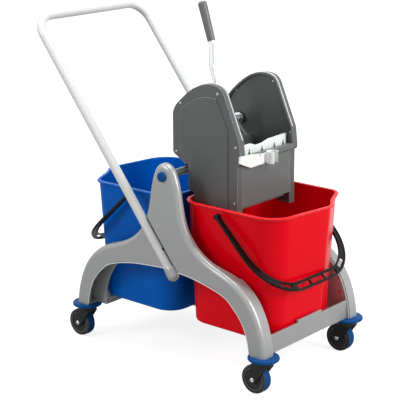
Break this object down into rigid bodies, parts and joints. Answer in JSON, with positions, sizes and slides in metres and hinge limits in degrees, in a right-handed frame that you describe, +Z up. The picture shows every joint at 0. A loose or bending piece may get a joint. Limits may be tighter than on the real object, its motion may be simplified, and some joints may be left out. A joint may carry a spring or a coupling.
{
  "type": "mop bucket trolley",
  "caption": "Cleaning trolley with a red and a blue bucket side by side under a lever mop wringer, on an arched plastic frame with swivel casters and a bent push handle.",
  "frame": {"origin": "on the floor, midway between the four caster swivel axes", "axes": "+X towards the red bucket, +Y towards the far side frame, +Z up"},
  "size_m": [0.8149, 0.444, 0.9267],
  "materials": {
    "frame_grey": "satin moulded plastic",
    "handle_white": "white powder coat",
    "plug_grey": "satin",
    "blue_plastic": "glossy moulded",
    "red_plastic": "glossy moulded",
    "black_plastic": "glossy moulded",
    "fork_black": "fine grain",
    "wringer_grey": "satin moulded plastic",
    "liner_grey": "satin moulded plastic",
    "white_plastic": "satin moulded plastic",
    "tyre_blue": "smooth tread",
    "grip_grey": "matt",
    "steel": "zinc plated",
    "bright_steel": "bright plated",
    "rail_aluminium": "mill finish"
  },
  "bodies": {
    "frame": {"side_frame_near": "frame_grey", "side_frame_far": "frame_grey", "end_beam_front": "frame_grey", "end_beam_rear": "frame_grey", "support_rail_near": "rail_aluminium", "support_rail_far": "rail_aluminium", "tower_tube": "steel", "tower_cap_near": "blue_plastic", "tower_cap_far": "blue_plastic", "tower_bolts": "steel", "push_handle": "handle_white", "handle_plug_near": "plug_grey", "handle_plug_far": "plug_grey", "beam_screws": "steel", "rail_screws": "steel", "caster_stems": "steel", "bucket_red": "red_plastic", "caster_bumper_front_near": "blue_plastic", "caster_bumper_front_far": "blue_plastic", "caster_bumper_rear_near": "blue_plastic", "caster_bumper_rear_far": "blue_plastic"},
    "bucket_blue": {"bucket_blue": "blue_plastic"},
    "bail_red": {"bail_red": "black_plastic"},
    "bail_blue": {"bail_blue": "black_plastic"},
    "wringer": {"cheek_shell_near": "wringer_grey", "cheek_shell_far": "wringer_grey", "cheek_liner_near": "liner_grey", "cheek_liner_far": "liner_grey", "cheek_screws": "steel", "wringer_front_plate": "wringer_grey", "wringer_back_plate": "wringer_grey", "wringer_hook_near": "fork_black", "wringer_hook_far": "fork_black", "sieve_plate": "white_plastic", "drain_grate": "wringer_grey", "pole_clip": "white_plastic", "press_bush_near": "white_plastic", "press_bush_far": "white_plastic", "press_spring": "steel"},
    "press": {"press_shaft": "steel", "press_plate": "wringer_grey", "lever_hub": "wringer_grey", "lever_tube": "bright_steel", "lever_grip": "grip_grey"},
    "caster_front_near": {"caster_fork_front_near": "fork_black", "caster_axle_front_near": "steel"},
    "wheel_front_near": {"wheel_hub_front_near": "fork_black", "wheel_tyre_front_near": "tyre_blue"},
    "caster_front_far": {"caster_fork_front_far": "fork_black", "caster_axle_front_far": "steel"},
    "wheel_front_far": {"wheel_hub_front_far": "fork_black", "wheel_tyre_front_far": "tyre_blue"},
    "caster_rear_near": {"caster_fork_rear_near": "fork_black", "caster_axle_rear_near": "steel"},
    "wheel_rear_near": {"wheel_hub_rear_near": "fork_black", "wheel_tyre_rear_near": "tyre_blue"},
    "caster_rear_far": {"caster_fork_rear_far": "fork_black", "caster_axle_rear_far": "steel"},
    "wheel_rear_far": {"wheel_hub_rear_far": "fork_black", "wheel_tyre_rear_far": "tyre_blue"}
  },
  "joints": [
    {"name": "swivel_front_near", "type": "hinge", "parent": "frame", "child": "caster_front_near", "pos_m": [0.306, -0.182, 0.0836], "axis": [0, 0, 1], "continuous": true},
    {"name": "roll_front_near", "type": "hinge", "parent": "caster_front_near", "child": "wheel_front_near", "pos_m": [0.284, -0.182, 0.0375], "axis": [0, 1, 0], "continuous": true},
    {"name": "swivel_front_far", "type": "hinge", "parent": "frame", "child": "caster_front_far", "pos_m": [0.306, 0.182, 0.0836], "axis": [0, 0, 1], "continuous": true},
    {"name": "roll_front_far", "type": "hinge", "parent": "caster_front_far", "child": "wheel_front_far", "pos_m": [0.284, 0.182, 0.0375], "axis": [0, 1, 0], "continuous": true},
    {"name": "swivel_rear_near", "type": "hinge", "parent": "frame", "child": "caster_rear_near", "pos_m": [-0.306, -0.182, 0.0836], "axis": [0, 0, 1], "continuous": true},
    {"name": "roll_rear_near", "type": "hinge", "parent": "caster_rear_near", "child": "wheel_rear_near", "pos_m": [-0.328, -0.182, 0.0375], "axis": [0, 1, 0], "continuous": true},
    {"name": "swivel_rear_far", "type": "hinge", "parent": "frame", "child": "caster_rear_far", "pos_m": [-0.306, 0.182, 0.0836], "axis": [0, 0, 1], "continuous": true},
    {"name": "roll_rear_far", "type": "hinge", "parent": "caster_rear_far", "child": "wheel_rear_far", "pos_m": [-0.328, 0.182, 0.0375], "axis": [0, 1, 0], "continuous": true},
    {"name": "bail_red_swing", "type": "hinge", "parent": "frame", "child": "bail_red", "pos_m": [0.152, 0, 0.4279], "axis": [0, -1, 0], "range_deg": [0, 105]},
    {"name": "bucket_blue_lift", "type": "slide", "parent": "frame", "child": "bucket_blue", "axis": [0, 0, 1], "range_m": [0, 0.045]},
    {"name": "bail_blue_swing", "type": "hinge", "parent": "bucket_blue", "child": "bail_blue", "pos_m": [-0.152, 0, 0.4279], "axis": [0, 1, 0], "range_deg": [0, 115]},
    {"name": "wringer_lift", "type": "slide", "parent": "frame", "child": "wringer", "axis": [0, 0, 1], "range_m": [0, 0.15]},
    {"name": "lever_press", "type": "hinge", "parent": "wringer", "child": "press", "pos_m": [0, 0, 0.611], "axis": [0, -1, 0], "range_deg": [0, 36], "stiffness_Nm_per_rad": 1.5, "deforming": ["press_spring"]}
  ]
}
